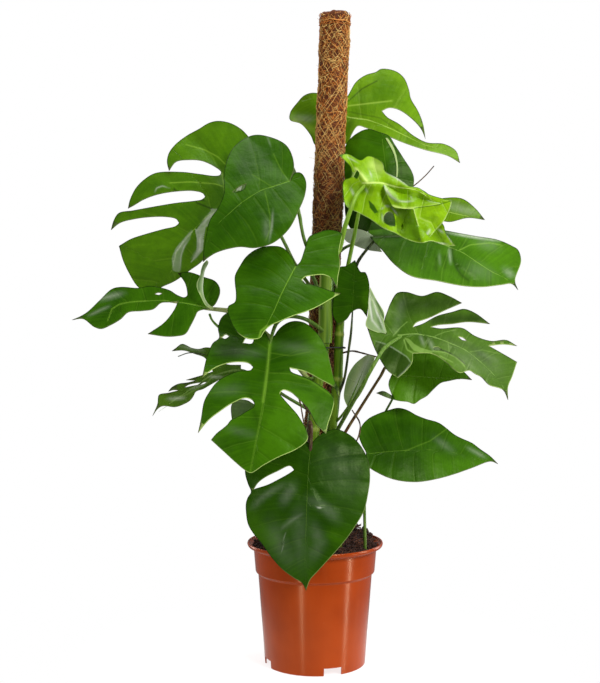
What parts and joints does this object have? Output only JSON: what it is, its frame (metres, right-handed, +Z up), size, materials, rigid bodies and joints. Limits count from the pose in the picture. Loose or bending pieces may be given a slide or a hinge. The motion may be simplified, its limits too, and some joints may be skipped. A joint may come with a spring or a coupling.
{
  "type": "potted swiss cheese plant",
  "caption": "Climbing house plant with split and heart-shaped leaves, tied to an upright coir pole, standing in a tapered terracotta-coloured plastic nursery pot.",
  "frame": {"origin": "centre of the pot's underside, on the ground", "axes": "+Z up along the pot's axis, -Y towards the front of the plant as pictured, +X to the right in that view"},
  "size_m": [0.7, 0.3917, 1],
  "materials": {
    "pot": "satin moulded plastic",
    "soil": "crumbly, matte",
    "core": "plain, matte",
    "coir": "fibrous, matte",
    "binding": "twine, matte",
    "leaf_dark": "satin",
    "leaf_gloss": "satin",
    "leaf_grey": "satin",
    "leaf_bright": "satin",
    "leaf_light": "satin",
    "leaf_new": "satin",
    "stem": "satin",
    "root": "matte",
    "tie": "matte"
  },
  "bodies": {
    "root": {"nursery_pot": "pot", "pole_core": "core", "coir_sleeve": "coir", "binding_ring": "binding", "stem_left": "stem", "stem_right": "stem", "stem_back": "stem", "tie": "tie", "leaf_upper_left_split": "leaf_bright", "leaf_upper_heart": "leaf_dark", "leaf_top_behind_pole": "leaf_light", "leaf_behind_new": "leaf_dark", "leaf_new_lime": "leaf_new", "leaf_small_behind_new": "leaf_dark", "leaf_right_large": "leaf_gloss", "leaf_right_split": "leaf_grey", "leaf_right_low_entire": "leaf_dark", "leaf_low_right_heart": "leaf_dark", "leaf_front_heart": "leaf_dark", "leaf_front_split": "leaf_dark", "leaf_centre_heart": "leaf_dark", "leaf_left_twisted": "leaf_dark", "leaf_left_low_narrow": "leaf_dark", "leaf_centre_dark": "leaf_dark", "leaf_centre_pale": "leaf_dark", "leaf_low_behind_front": "leaf_dark", "leaf_back_left": "leaf_dark", "leaf_back_centre": "leaf_dark", "leaf_back_right": "leaf_dark", "leaf_back_low_right": "leaf_dark", "leaf_back_low_centre": "leaf_dark", "aerial_root_right": "root", "aerial_root_left": "root", "aerial_root_front": "root", "aerial_root_low": "root", "soil": "soil"}
  },
  "joints": []
}
